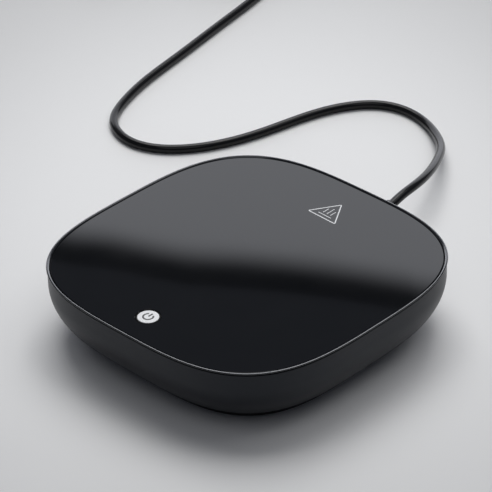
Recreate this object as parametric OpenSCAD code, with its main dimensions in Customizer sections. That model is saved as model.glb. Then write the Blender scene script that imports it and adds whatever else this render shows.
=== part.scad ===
// Electric mug warmer: a glass-topped, cushion-shaped heater plate with one push button.
// Millimetres. The origin is on the table under the middle of the body, +Z is up, and the
// button side is -Y. The outline is a superellipse, and every ring, plate and gasket of the
// body is that outline moved inwards by an inset.

/* [Body] */
// Width of the body
body_w = 120; // [116:1:150]
// Depth of the body
body_d = 120; // [116:1:150]
// Height from the table to the lip
body_h = 27; // [26:0.5:36]
// Exponent of the outline, 2 for an ellipse and higher for squarer corners
outline_power = 3.26; // [2.8:0.02:4.4]
// Upright part of the side wall below the lip
wall_upright = 6.6; // [4:0.2:9]
// How far the side wall turns inwards on its way under the body
hem_inset = 9.9; // [7:0.1:12]
// Height of the side wall's lower edge above the table
hem_z = 3.6; // [3.2:0.1:5]
// Thickness of the side wall
wall_t = 2; // [1.6:0.1:2.6]
// Radius on the lip's edges
lip_round = 0.3; // [0.1:0.05:0.4]
// Thickness of the deck under the glass
deck_t = 1.6; // [1.2:0.1:2.4]
// Number of ribs between the deck and the side wall
rib_count = 16; // [8:4:24]
// Height of these ribs at the side wall
rib_h = 5; // [3:0.5:6]

/* [Glass] */
// Thickness of the glass
glass_t = 3; // [2:0.25:4]
// Bevel on the upper edge of the glass
glass_bevel = 0.2; // [0.1:0.05:0.5]
// Width of the lip round the glass
lip_w = 1; // [0.8:0.1:2]
// Depth of the glass below the lip
glass_recess = 0.4; // [0.2:0.1:1]
// Thickness of the adhesive seal under the glass
seal_t = 0.4; // [0.3:0.1:0.8]
// Width of the adhesive seal
seal_w = 5; // [3:0.5:7]

/* [Heater] */
// Diameter of the aluminium spreader
spreader_dia = 76; // [60:1:78]
// Thickness of the aluminium spreader
spreader_t = 1.5; // [1:0.1:2]
// Thickness of the heat-conducting pad on the spreader
pad_t = 0.5; // [0.3:0.1:1]
// Thickness of the heating film
film_t = 0.3; // [0.2:0.05:0.5]
// Thickness of the etched heating track
track_t = 0.1; // [0.05:0.05:0.2]
// Width of the etched heating track
track_w = 1.6; // [1:0.1:2]
// Thickness of the insulation under the heating film
insulation_t = 3.6; // [3:0.1:4]
// Thickness of the pressed tray that carries the heater
tray_t = 0.8; // [0.5:0.1:1]

/* [Button] */
// Diameter of the button's face
button_dia = 7.4; // [6:0.1:9]
// Distance from the button's middle to the front of the body
button_edge = 12.8; // [12:0.1:15]
// Travel of the button
button_travel = 0.6; // [0.4:0.1:0.8]
// Wall of the sleeve that guides the button
sleeve_wall = 0.4; // [0.3:0.05:0.8]

/* [Base and feet] */
// Thickness of the base cover
base_t = 2.2; // [1.8:0.1:2.6]
// How far the base cover's edge stands back under the hem
hem_shadow = 1; // [0.5:0.1:2]
// Diameter of a foot
foot_dia = 14; // [10:0.5:15]
// Length of a vent slot
vent_len = 16; // [8:1:20]
// Number of vent slots in each row
vent_count = 6; // [0:1:8]

/* [Circuit board] */
// Width of the circuit board
board_w = 44; // [40:1:48]
// Depth of the circuit board
board_d = 26; // [24:1:28]
// Thickness of the circuit board
board_t = 1.6; // [1:0.1:2]
// Height of the posts that carry the circuit board
board_post_h = 4.8; // [4:0.1:5.5]

/* [Cord] */
// Diameter of the cord
cord_dia = 3.4; // [3:0.1:4]
// Height of the cord's exit above the table
cord_z = 14; // [12:0.5:15]
// Length of the strain relief outside the body
relief_len = 14; // [10:1:18]
// Distance between neighbouring turns of the coil
coil_pitch = 3.46; // [3.4:0.01:4.2]
// Number of turns that lie side by side in each layer of the coil
coil_lanes = 4; // [2:1:6]

/* [Hidden] */

$fn = 64;

// Clearances
glass_gap = 0.2;
base_gap = 0.2;
hem_gap = 0.4;
hole_gap = 0.2;
slide_gap = 0.08;
seat_gap = 0.05;
embed = 0.5;
cut = 1;

// Heights in the body, from the lip down
glass_top = body_h - glass_recess;
glass_bottom = glass_top - glass_t;
deck_top = glass_bottom - seal_t;
deck_bottom = deck_top - deck_t;
spreader_top = glass_bottom - pad_t;
film_top = spreader_top - spreader_t;
track_top = film_top - film_t;
insulation_top = track_top - track_t;
tray_floor = insulation_top - insulation_t;
tray_bottom = tray_floor - tray_t;

// Heights in the body, from the table up
base_top = hem_z - hem_gap;
base_z = base_top - base_t;
foot_sunk = 0.6;
boss_split = base_top + 3;
board_bottom = base_top + board_post_h;
board_top = board_bottom + board_t;

// Side wall: an arc that is upright where it begins and ends at the hem
wall_drop = body_h - hem_z - wall_upright;
wall_turn = 2 * atan(hem_inset / wall_drop);
wall_turn_r = wall_drop / sin(wall_turn);
base_inset = hem_inset + wall_t + base_gap;
outline_points = 96;
wall_steps = 9;
inner_steps = 6;

// Screws
housing_screw = [3, 5.4, 2, 10]; // thread, head, head height, length
small_screw = [2.2, 4, 1.4, 4.5];
boss_wall = 2;
boss_from_corner = 9.4;

// Heater tray
spreader_r = spreader_dia / 2;
deck_hole_r = spreader_r + 1.5;
tray_gap = 0.4;
tray_r = spreader_r + tray_gap + tray_t;
tray_ear_r = tray_r + 5.3;
tray_ear_w = 8;
tray_ears = [90, 210, 330];
tray_post_r = 3;
window = [26, 14];

// Button
button_r = button_dia / 2;
button_y = -body_d / 2 + button_edge;
sleeve_bore_r = button_r + slide_gap;
sleeve_r = sleeve_bore_r + sleeve_wall;
sleeve_flange_r = sleeve_r + 2;
sleeve_flange_z = deck_top - 1;
sleeve_bottom = deck_bottom - 2.1;
button_flange_r = sleeve_bore_r + 0.8;
button_flange_t = 0.9;
button_flange_z = sleeve_bottom - hole_gap - button_flange_t;
button_edge_round = 0.25;
stem_r = 2;

// Switch
switch_w = 6;
switch_h = 3.5;
plunger_r = 1.75;
plunger_sunk = 2.3;
plunger_out = 1.9;
plunger_top = board_top + switch_h + plunger_out;

// Circuit board
board_front = button_y - 3.8;
board_hole_x = board_w / 2 - 4;
board_holes = [for (x = [-1, 1], y = [9, board_d - 3.5]) [x * board_hole_x, board_front + y]];
board_post_r = 2.6;

// Cord exit, on the back of the body
exit_y = body_d / 2;
port_r = 5.5;
port_bore_r = 3.2;
port_len = 8;
port_face = exit_y - 0.3; // its top fades into the side wall
relief_r = port_bore_r - slide_gap;
relief_end = exit_y + relief_len;
collar_t = 2.5;
collar_face = port_face - port_len - seat_gap;

// Route of the cord from the strain relief to the coil
cord_lay = cord_dia / 2;
cord_route = [
    [-1, 82, 14.6], [-2, 88, 14.3], [-3, 94, 13.6], [-7, 104, 11.6], [-12, 113, 9.3],
    [-17, 121, 7.2], [-21, 127, 5.5], [-26, 132, 4.1], [-33, 138, 2.5], [-42, 143, 1.7],
    [-50, 145, 1.7], [-57, 145, 1.7],
    [-63, 143, 1.7], [-68, 140, 1.7], [-73, 134, 1.7], [-77, 127, 1.7], [-80, 118, 1.7],
    [-82, 109, 1.7], [-84, 97, 1.7], [-87, 86, 1.7], [-91, 77, 1.7], [-95, 70, 1.7],
    [-101, 63, 1.7], [-108, 58, 1.7], [-116, 56, 1.7], [-123, 57, 1.7], [-130, 60, 1.7],
    [-135, 64, 1.7], [-139, 70, 1.7], [-142, 78, 1.7], [-146, 88, 1.7], [-149, 102, 1.7],
    [-151, 115, 1.7], [-154, 129, 1.7], [-157, 143, 1.7], [-160, 159, 1.7],
    [-163, 175, 1.7], [-167, 189, 1.7]];
end_route = [[-214, 213, 5], [-223, 206, 4.5], [-228, 197, 4]];

// Coil
coil_centre = [-194, 197];
coil_start = 15;
coil_end = 116;
coil_mid_r = 19;
coil_outer_r = coil_mid_r + coil_pitch * (coil_lanes - 1) / 2;
coil_inner_r = coil_outer_r - coil_pitch * (coil_lanes - 1);
coil_height = coil_pitch + cord_dia;
tie_angle = 255;
tie_w = 9;
tie_t = 0.4;
coil_lift = tie_t + seat_gap;

// Plug
plug_x = -229;
plug_y = 188;
plug_z = 4;
grip = [15.6, 22, 8];
grip_boot = 8;
shell = [12, 18.7, 4.5];
shell_t = 0.3;
tongue = [11.1, 16.5, 1.8];
contact_count = 4;
contact_pitch = 2.3;

// Colours
satin_black = [0.13, 0.13, 0.14];
glass_black = [0.03, 0.03, 0.035];
rubber_black = [0.1, 0.1, 0.1];
steel = [0.75, 0.75, 0.77];
copper = [0.8, 0.5, 0.25];

// ---------- Shared shapes ----------

// Distance from the middle to the body's outline at an angle, and the points of the outline,
// both moved inwards by inset
function reach(t, inset) =
    let (a = body_w / 2 - inset, b = body_d / 2 - inset)
    pow(pow(abs(cos(t)) / a, outline_power) + pow(abs(sin(t)) / b, outline_power),
        -1 / outline_power);
function outline(inset) = [for (i = [0 : outline_points - 1])
    let (t = 360 * i / outline_points) reach(t, inset) * [cos(t), sin(t)]];

// How far the side wall has turned in at a height
function wall_inset(z) =
    let (drop = max(0, body_h - wall_upright - z))
    wall_turn_r - sqrt(pow(wall_turn_r, 2) - pow(drop, 2));

// Middle of a corner boss, measured inwards from the base cover's corner
function corner(inset) =
    let (share = pow(2, -1 / outline_power))
    [(body_w / 2 - base_inset) * share - inset, (body_d / 2 - base_inset) * share - inset];
boss = corner(boss_from_corner / sqrt(2));
corners = [[-boss[0], -boss[1]], [boss[0], -boss[1]], [-boss[0], boss[1]], [boss[0], boss[1]]];

// Flat plate with the body's outline
module plate(inset, z0, z1) {
    translate([0, 0, z0]) linear_extrude(z1 - z0) polygon(outline(inset));
}

// Plate with an open middle
module plate_ring(inset, width, z0, z1) {
    translate([0, 0, z0]) linear_extrude(z1 - z0) difference() {
        polygon(outline(inset));
        polygon(outline(inset + width));
    }
}

// Skin over rings: profile lists the rings as [inset, z]. A loop of them closes on itself and
// makes a ring-shaped body, and a row from the bottom up gets a flat face at each end.
module skin(profile, loop = true) {
    n = outline_points;
    m = len(profile);
    points = [for (p = profile) for (q = outline(p[0])) [q[0], q[1], p[1]]];
    faces = [for (j = [0 : m - (loop ? 1 : 2)], i = [0 : n - 1])
        let (a = j * n + i,
             b = j * n + (i + 1) % n,
             c = (j + 1) % m * n + (i + 1) % n,
             d = (j + 1) % m * n + i)
        each [[a, c, b], [a, d, c]]];
    ends = loop ? [] : [[for (i = [0 : n - 1]) i], [for (i = [n - 1 : -1 : 0]) (m - 1) * n + i]];
    polyhedron(points, concat(faces, ends));
}

module rod(r, z0, z1, at = [0, 0]) {
    translate([at[0], at[1], z0]) cylinder(h = z1 - z0, r = r);
}

module block(size, at) {
    translate([at[0] - size[0] / 2, at[1] - size[1] / 2, at[2]]) cube(size);
}

// Flat outline of a slot with round ends
module slot(length, width) {
    square([length - width, width], center = true);
    for (x = [-1, 1]) translate([x * (length - width) / 2, 0]) circle(width / 2, $fn = 24);
}

// Upright fin: an outline of [distance, z] points that faces an angle, seen from a centre
module fin(outline, thick, angle, at = [0, 0]) {
    translate([at[0], at[1], 0]) rotate([0, 0, angle]) rotate([90, 0, 0])
        translate([0, 0, -thick / 2]) linear_extrude(thick) polygon(outline);
}

// Pan-head screw with its head down and a cross recess, its seat at z
module screw(kind, at, z) {
    head_r = kind[1] / 2;
    recess_w = kind[0] / 4;
    difference() {
        union() {
            rod(kind[0] / 2, z - embed, z + kind[3], at);
            translate([at[0], at[1], z]) rotate([180, 0, 0]) rotate_extrude() polygon([
                [0, 0], [head_r, 0], [head_r, kind[2] * 0.55], [head_r * 0.8, kind[2]], [0, kind[2]]]);
        }
        for (turn = [0, 90]) translate([at[0], at[1], z - kind[2]]) rotate(turn)
            block([head_r * 1.1, recess_w, kind[2]], [0, 0, -kind[2] / 2]);
    }
}

// Unit vector, and the directions across a path
function unit(v) = v / norm(v);
function along(path, i) = unit(path[min(i + 1, len(path) - 1)] - path[max(i - 1, 0)]);

// Smooth curve through points, with steps pieces between neighbours
function smooth(p, steps) = let (n = len(p) - 1) [
    for (i = [0 : n - 1], k = [0 : steps - 1])
        let (t = k / steps,
             before = i > 0 ? p[i - 1] : 2 * p[0] - p[1],
             after = i < n - 1 ? p[i + 2] : 2 * p[n] - p[n - 1])
        0.5 * (2 * p[i] + (p[i + 1] - before) * t
            + (2 * before - 5 * p[i] + 4 * p[i + 1] - after) * t * t
            + (3 * p[i] - before - 3 * p[i + 1] + after) * t * t * t),
    p[n]];

// Round tube along a path that is nowhere upright
module tube(path, dia, sides = 8) {
    n = len(path);
    points = [for (i = [0 : n - 1])
        let (ahead = along(path, i),
             side = unit(cross([0, 0, 1], ahead)),
             up = cross(ahead, side))
        for (k = [0 : sides - 1])
            path[i] + dia / 2 * (cos(360 * k / sides) * side + sin(360 * k / sides) * up)];
    walls = [for (i = [0 : n - 2], k = [0 : sides - 1])
        let (a = i * sides + k,
             b = i * sides + (k + 1) % sides)
        each [[a, b + sides, b], [a, a + sides, b + sides]]];
    ends = [[for (k = [0 : sides - 1]) k], [for (k = [sides - 1 : -1 : 0]) (n - 1) * sides + k]];
    polyhedron(points, concat(walls, ends));
}

// Point on the outer turn of the coil, at an angle and a height
function on_coil(angle, z) = [
    coil_centre[0] + coil_outer_r * cos(angle), coil_centre[1] + coil_outer_r * sin(angle), z];

// ---------- Casing ----------

// Ribs that tie the deck to the side wall, and gussets that stay clear of the heater's side
module housing_ribs() {
    rib_t = 1;
    top = deck_bottom + embed;
    for (i = [0 : rib_count - 1])
        let (t = (i + 0.5) * 360 / rib_count,
             outer = reach(t, wall_inset(deck_bottom - rib_h) + wall_t * 0.55),
             inner = reach(t, wall_t + 5))
        fin([[inner, deck_bottom - 1], [outer, deck_bottom - rib_h], [outer, top], [inner, top]],
            rib_t, t);
    boss_r = housing_screw[0] / 2 + boss_wall;
    for (c = corners, side = [-90, 0, 90])
        fin([[boss_r - 0.5, deck_bottom - 6.5], [boss_r + 2.6, deck_bottom - 1],
             [boss_r + 2.6, top], [boss_r - 0.5, top]], rib_t, atan2(c[1], c[0]) + side, c);
}

// One moulding: side wall with the lip, deck under the glass, bosses, tray posts, cord port
module upper_housing() {
    outer = [for (i = [0 : wall_steps])
        let (a = wall_turn * (1 - i / wall_steps))
        [wall_turn_r * (1 - cos(a)), body_h - wall_upright - wall_turn_r * sin(a)]];
    lip = [for (a = [0, 45, 90]) [lip_round * (1 - cos(a)), body_h - lip_round * (1 - sin(a))]];
    lip_inner = [for (a = [90, 45, 0])
        [lip_w - lip_round * (1 - cos(a)), body_h - lip_round * (1 - sin(a))]];
    step_z = deck_bottom + deck_t / 2;
    step = [[lip_w, step_z], [wall_t, step_z]];
    inner = [for (i = [0 : inner_steps])
        let (z = body_h - wall_upright - i / inner_steps * (body_h - wall_upright - hem_z))
        [wall_inset(z) + wall_t, z]];
    color(satin_black) difference() {
        union() {
            skin(concat(outer, lip, lip_inner, step, inner));
            difference() {
                plate(lip_w / 2, deck_bottom, deck_top);
                rod(deck_hole_r, deck_bottom - cut, deck_top + cut);
            }
            for (c = corners)
                rod(housing_screw[0] / 2 + boss_wall, boss_split, deck_bottom + embed, c);
            for (a = tray_ears)
                rod(tray_post_r, tray_floor, deck_bottom + embed, tray_ear_r * [cos(a), sin(a)]);
            housing_ribs();
            translate([0, port_face, cord_z]) rotate([90, 0, 0])
                cylinder(h = port_len, r = port_r);
        }
        for (c = corners)
            rod(housing_screw[0] / 2 + slide_gap, boss_split - cut, deck_bottom - deck_t, c);
        for (a = tray_ears)
            rod(small_screw[0] / 2 + slide_gap, tray_floor - cut, deck_bottom + embed,
                tray_ear_r * [cos(a), sin(a)]);
        rod(sleeve_r + hole_gap, deck_bottom - cut, deck_top + cut, [0, button_y]);
        rod(sleeve_flange_r + hole_gap, sleeve_flange_z, deck_top + cut, [0, button_y]);
        translate([0, exit_y + cut, cord_z]) rotate([90, 0, 0])
            cylinder(h = port_len + 2 * cut, r = port_bore_r);
    }
}

// Plate with a ground upper edge and a hole for the button
module glass_plate() {
    inset = lip_w + glass_gap;
    color(glass_black) difference() {
        skin([[inset, glass_bottom], [inset, glass_top - glass_bevel],
            [inset + glass_bevel, glass_top]], loop = false);
        rod(sleeve_r + hole_gap, glass_bottom - cut, glass_top + cut, [0, button_y]);
    }
}

// Gasket along the edge of the glass, cut out where the button's sleeve needs the room
module glass_seal() {
    color("dimgray") difference() {
        plate_ring(lip_w + glass_gap + 0.3, seal_w, deck_top, glass_bottom);
        rod(sleeve_flange_r + seat_gap, deck_top - cut, glass_bottom + cut, [0, button_y]);
    }
}

// Tray-shaped cover: a flange under the hem, a rim inside it, foot recesses, screw bosses,
// board posts and vents
module base_cover() {
    rim_h = 3.2;
    rim_t = 1.6;
    counterbore_r = housing_screw[1] / 2 + 0.4;
    screw_seat = boss_split - base_t;
    base_edge = 0.5;
    flange = hem_inset + hem_shadow;
    vent_w = 1.8;
    vent_step = 5;
    color(satin_black) difference() {
        union() {
            skin([[flange + base_edge, base_z], [flange, base_z + base_edge],
                [flange, base_top], [base_inset, base_top], [base_inset, base_top + rim_h],
                [base_inset + rim_t, base_top + rim_h], [base_inset + rim_t, base_top]],
                loop = false);
            for (c = corners) rod(counterbore_r + 1.2, base_top - embed, boss_split, c);
            for (h = board_holes) rod(board_post_r, base_top - embed, board_bottom, h);
        }
        for (c = corners) {
            rod(foot_dia / 2 + hole_gap, base_z - cut, base_z + foot_sunk, c);
            rod(counterbore_r, base_z - cut, screw_seat, c);
            rod(housing_screw[0] / 2 + hole_gap, base_z, boss_split + cut, c);
        }
        for (h = board_holes) rod(small_screw[0] / 2 + slide_gap, base_top, board_bottom + cut, h);
        if (vent_count > 0) for (x = [-1, 1], i = [0 : vent_count - 1])
            translate([x * (vent_len / 2 + 4), (i - (vent_count - 1) / 2) * vent_step + 6, base_z - cut])
                linear_extrude(base_t + 2 * cut) slot(vent_len, vent_w);
    }
}

module foot(at) {
    edge = 0.4;
    r = foot_dia / 2;
    top = base_z + foot_sunk;
    color(rubber_black) translate([at[0], at[1], 0])
        rotate_extrude() polygon([[0, 0], [r - edge, 0], [r, edge], [r, top], [0, top]]);
}
module foot_front_left() { foot(corners[0]); }
module foot_front_right() { foot(corners[1]); }
module foot_back_left() { foot(corners[2]); }
module foot_back_right() { foot(corners[3]); }

module housing_screws() {
    color(steel) for (c = corners) screw(housing_screw, c, boss_split - base_t);
}

// ---------- Heater, pressed up against the glass ----------

module heat_pad() {
    color("lightgray") rod(spreader_r, spreader_top, glass_bottom);
}

module heat_spreader() {
    color("silver") rod(spreader_r, film_top, spreader_top);
}

module heating_film() {
    color("darkorange") rod(spreader_r - 0.5, track_top, film_top);
}

// Etched track: open rings that are joined by short bridges, like a labyrinth
module heating_track() {
    ring_step = 4;
    first_r = 10;
    rings = floor((spreader_r - 2 - first_r) / ring_step);
    opening = 4;
    color(copper) translate([0, 0, insulation_top]) linear_extrude(track_t) union() {
        for (k = [0 : rings]) difference() {
            circle(first_r + ring_step * k + track_w);
            circle(first_r + ring_step * k);
            translate([-opening / 2, 0]) square([opening, spreader_r]);
        }
        for (k = [0 : rings - 1])
            let (r = first_r + ring_step * k,
                 side = k % 2 == 0 ? 1 : -1)
            translate([side * (opening / 2 + track_w / 2) - track_w / 2, r + track_w / 2])
                square([track_w, ring_step]);
    }
}

module insulation_pad() {
    color("ivory") difference() {
        rod(spreader_r, tray_floor, insulation_top);
        block([window[0], window[1], insulation_t + 2 * cut], [0, 0, tray_floor - cut]);
    }
}

// Pressed tray with an upstanding rim and three ears
module heater_tray() {
    rim_top = film_top - 0.3;
    bend = tray_gap - 0.1;
    bend_r = tray_r - tray_t - bend;
    turn = [0 : 30 : 90];
    section = concat([[0, tray_bottom]],
        [for (a = turn) [bend_r + (bend + tray_t) * sin(a), tray_floor + bend - (bend + tray_t) * cos(a)]],
        [[tray_r, rim_top], [tray_r - tray_t, rim_top]],
        [for (a = turn) [bend_r + bend * cos(a), tray_floor + bend - bend * sin(a)]],
        [[0, tray_floor]]);
    color(steel) difference() {
        union() {
            rotate_extrude() polygon(section);
            for (a = tray_ears) rotate(a) {
                translate([tray_r - tray_t, -tray_ear_w / 2, tray_bottom])
                    cube([tray_ear_r - tray_r + tray_t, tray_ear_w, tray_t]);
                rod(tray_ear_w / 2, tray_bottom, tray_floor, [tray_ear_r, 0]);
            }
        }
        for (a = tray_ears) rod(small_screw[0] / 2 + hole_gap, tray_bottom - cut, tray_floor + cut,
            tray_ear_r * [cos(a), sin(a)]);
        block([window[0], window[1], tray_t + 2 * cut], [0, 0, tray_bottom - cut]);
    }
}

module tray_screws() {
    color(steel) for (a = tray_ears)
        screw(small_screw, tray_ear_r * [cos(a), sin(a)], tray_bottom);
}

module thermal_cutoff() {
    can_r = (insulation_top - tray_bottom - seat_gap) / 2;
    can_len = 11;
    color("gainsboro") translate([-5, -can_len / 2, tray_bottom + can_r]) rotate([-90, 0, 0])
        cylinder(h = can_len, r = can_r);
}

module temperature_sensor() {
    bead_r = 1.5;
    color("saddlebrown") translate([6, 0, insulation_top - seat_gap - bead_r]) sphere(bead_r);
}

// Spring strip under the tray that keeps the cut-out and the sensor up
module sensor_clip() {
    strip_t = 0.5;
    strip_w = 6;
    color("lightsteelblue") difference() {
        block([window[0] + 10, strip_w, strip_t], [0, 0, tray_bottom - strip_t]);
        for (x = [-1, 1])
            rod(0.8, tray_bottom - strip_t - cut, tray_bottom + cut, [x * (window[0] / 2 + 2.8), 0]);
    }
}

// ---------- Electronics ----------

module control_board() {
    color("darkgreen") difference() {
        translate([-board_w / 2, board_front, board_bottom]) cube([board_w, board_d, board_t]);
        for (h = board_holes)
            rod(small_screw[0] / 2 + hole_gap, board_bottom - cut, board_top + cut, h);
        for (x = [-1, 1]) translate([x * board_w / 2, board_front, board_bottom - cut])
            rotate(45) block([4, 4, board_t + 2 * cut], [0, 0, 0]);
    }
}

module board_screws() {
    color(steel) for (h = board_holes) translate([h[0], h[1], board_top]) rotate([180, 0, 0])
        screw(small_screw, [0, 0], 0);
}

// Controller, transistor and small parts, soldered to the board
module board_chips() {
    color("black") {
        block([6, 5, 1.5], [-5, board_front + 16.5, board_top]);
        block([6.5, 5.4, 2.3], [6, board_front + 15.4, board_top]);
        for (i = [0 : 4]) block([1.6, 0.8, 0.6], [-11 + i * 2.6, board_front + 12, board_top]);
    }
    color(steel) {
        for (x = [-1, 1], i = [0 : 3])
            block([1.1, 0.45, 0.3], [-5 + x * 3.5, board_front + 14.6 + i * 1.27, board_top]);
        block([5.4, 1.4, 0.9], [6, board_front + 18.6, board_top]);
    }
}

module board_capacitor() {
    can_r = 3.15;
    can_h = 5.4;
    groove_r = can_r - 0.3;
    color("midnightblue") translate([-12.5, board_front + 5, board_top]) rotate_extrude() polygon([
        [0, 0], [can_r, 0], [can_r, 0.9], [groove_r, 1.2], [can_r, 1.5],
        [can_r, can_h - 0.3], [can_r - 0.3, can_h], [0, can_h]]);
}

// Shrouded headers: supply and heater at the back edge, sensor beside them
connector_y = board_front + board_d - 4;
connector_h = 4.8;
connectors = [[-12, 2], [0, 2], [12.2, 2]]; // middle along X, number of pins
module board_connectors() {
    pin_pitch = 2;
    socket_t = 0.7;
    for (c = connectors) {
        size = [c[1] * pin_pitch + 2, 4.4, connector_h];
        color("whitesmoke") difference() {
            block(size, [c[0], connector_y, board_top]);
            block([size[0] - 2 * socket_t, size[1] - 2 * socket_t, size[2]],
                [c[0], connector_y, board_top + 1]);
        }
        color(copper) for (i = [0 : c[1] - 1])
            block([0.5, 0.5, connector_h - 2],
                [c[0] + (i - (c[1] - 1) / 2) * pin_pitch, connector_y, board_top + 1]);
    }
}

// Small lamps on each side of the switch that light the button from below
module button_lamps() {
    lamp_r = 1.5;
    lamp_h = 2.6;
    color("white") for (x = [-1, 1]) translate([x * (switch_w / 2 + 2.2), button_y, board_top])
        rotate_extrude() polygon(concat([[0, 0], [lamp_r + 0.3, 0], [lamp_r + 0.3, 0.6], [lamp_r, 0.6]],
            [for (a = [0 : 15 : 90]) [lamp_r * cos(a), lamp_h + lamp_r * sin(a)]]));
}

module switch_case() {
    at = [0, button_y];
    color("dimgray") difference() {
        block([switch_w, switch_w, switch_h], [at[0], at[1], board_top]);
        rod(plunger_r + slide_gap, board_top + switch_h - plunger_sunk - button_travel - hole_gap,
            board_top + switch_h + cut, at);
    }
}

module switch_plunger() {
    color("black") rod(plunger_r, board_top + switch_h - plunger_sunk, plunger_top, [0, button_y]);
}

// ---------- Button ----------

// Sleeve that lines the hole in the glass and guides the button
module button_sleeve() {
    color(rubber_black) translate([0, button_y, 0]) rotate_extrude() polygon([
        [sleeve_bore_r, sleeve_bottom], [sleeve_r, sleeve_bottom],
        [sleeve_r, sleeve_flange_z], [sleeve_flange_r, sleeve_flange_z],
        [sleeve_flange_r, glass_bottom - seat_gap], [sleeve_r, glass_bottom - seat_gap],
        [sleeve_r, glass_top - 0.1], [sleeve_bore_r, glass_top - 0.1]]);
}

// Cap, flush with the glass, with a retaining flange and a stem that stands on the switch
module power_button() {
    rounding = [for (a = [0 : 30 : 90])
        [button_r - button_edge_round * (1 - cos(a)), glass_top - button_edge_round * (1 - sin(a))]];
    color("whitesmoke") translate([0, button_y, 0]) rotate_extrude() polygon(concat(
        [[0, plunger_top], [stem_r, plunger_top], [stem_r, button_flange_z],
         [button_flange_r, button_flange_z], [button_flange_r, button_flange_z + button_flange_t],
         [button_r, button_flange_z + button_flange_t]],
        rounding, [[0, glass_top]]));
}

// ---------- Cord, leads and plug ----------

// Moulded relief: a collar inside the wall, a neck in the port and a ribbed, tapered tail
module strain_relief() {
    tail_r = cord_dia / 2 + 0.5;
    collar_r = port_r - 1;
    ribs = 4;
    rib_step = (relief_len - 3) / ribs;
    taper = (relief_r - tail_r) / ribs;
    groove = 0.45;
    rib_profile = [for (i = [0 : ribs - 1])
        let (y = exit_y + 2 + i * rib_step,
             r = relief_r - taper * (i + 0.5))
        each [[r + taper / 2, y], [r - groove, y + 0.2], [r - groove - taper / 2, y + 1], [r, y + 1.2]]];
    color(rubber_black) translate([0, 0, cord_z]) rotate([-90, 0, 0]) rotate_extrude() polygon(concat(
        [[0, collar_face - collar_t], [collar_r, collar_face - collar_t],
         [collar_r, collar_face], [relief_r, collar_face]],
        rib_profile, [[tail_r, relief_end], [0, relief_end]]));
}

lead_start = collar_face - collar_t - hole_gap;
module leads(colours, dia, spread, path) {
    for (i = [0, 1]) color(colours[i])
        tube(smooth([for (p = path) p + [(i - 0.5) * spread, 0, 0]], 3), dia);
}

lead_dia = 1.4;
module supply_leads() {
    x = connectors[0][0];
    leads(["firebrick", "black"], lead_dia, 2, [
        [0, lead_start, cord_z], [0, lead_start - 8, cord_z - 2], [-3, 26, 6.5], [-9, 8, 4.6],
        [x, -8, 5], [x, connector_y + 10, board_top + 3], [x, connector_y + 2.6, board_top + 3]]);
}

module heater_leads() {
    x = connectors[1][0];
    leads(["whitesmoke", "whitesmoke"], lead_dia, 2, [
        [0, 4.5, insulation_top - 1], [0, -1, insulation_top - 1.8], [0, -5, tray_floor],
        [0, -8, tray_bottom - 2.6], [0, connector_y + 12, board_top + 4],
        [x, connector_y + 2.6, board_top + 3]]);
}

module sensor_leads() {
    x = connectors[2][0];
    leads(["gold", "gold"], 1, 1.4, [
        [6, -1.6, insulation_top - 1.6], [7, -4.6, insulation_top - 2.2], [10, -6, tray_bottom - 2],
        [x, connector_y + 10, board_top + 4], [x, connector_y + 2.6, board_top + 3]]);
}

module cord() {
    start = [0, relief_end, cord_z];
    coil = on_coil(coil_start, coil_lift + cord_lay);
    route = smooth(concat([start + [0, 1, 0]], cord_route, [coil]), 2);
    laid = [for (p = route) [p[0], p[1], max(p[2], cord_lay)]];
    color(rubber_black) tube(concat([start], laid), cord_dia);
}

// Outline of the coiled turns, cut across on the +X side and grown on every side
function coil_outline(grow) =
    let (r = cord_dia / 2 + grow,
         half_w = (coil_outer_r - coil_inner_r) / 2,
         middle = coil_lift + coil_height / 2)
    [for (k = [0 : 3], a = [90 * k : 15 : 90 * k + 90])
        [coil_mid_r + (k == 0 || k == 3 ? half_w : -half_w) + r * cos(a),
         middle + (k < 2 ? coil_pitch : -coil_pitch) / 2 + r * sin(a)]];

module cord_coil() {
    color(rubber_black) translate([coil_centre[0], coil_centre[1], 0])
        rotate_extrude() polygon(coil_outline(0));
}

// Strap round the coil
module coil_tie() {
    span = tie_w / coil_mid_r * 180 / PI;
    color("dimgray") translate([coil_centre[0], coil_centre[1], 0]) rotate(tie_angle - span / 2)
        rotate_extrude(angle = span) difference() {
            polygon(coil_outline(seat_gap + tie_t));
            polygon(coil_outline(seat_gap));
        }
}

module cord_end() {
    start = on_coil(coil_end, coil_lift + cord_lay + coil_pitch);
    plug = [plug_x, plug_y, plug_z];
    route = smooth(concat([start], end_route, [plug + [0, 1, 0]]), 3);
    color(rubber_black) tube(concat(route, [plug]), cord_dia);
}

// Moulded grip with rounded corners and a tapered tail
module plug_grip() {
    corner_r = 2.4;
    edge = 0.8;
    tail_r = cord_dia / 2 + 0.9;
    color(rubber_black) translate([plug_x, plug_y, 0]) {
        hull() for (level = [[edge, 0], [0, edge], [0, grip[2] - edge], [edge, grip[2]]])
            translate([0, 0, level[1] - 0.005]) linear_extrude(0.01)
                for (x = [-1, 1], y = [-grip_boot - corner_r, -grip_boot - grip[1] + corner_r])
                    translate([x * (grip[0] / 2 - corner_r), y]) circle(corner_r - level[0], $fn = 24);
        translate([0, 0, plug_z]) rotate([90, 0, 0])
            cylinder(h = grip_boot + 1, r1 = tail_r, r2 = tail_r + 0.9);
    }
}

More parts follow.
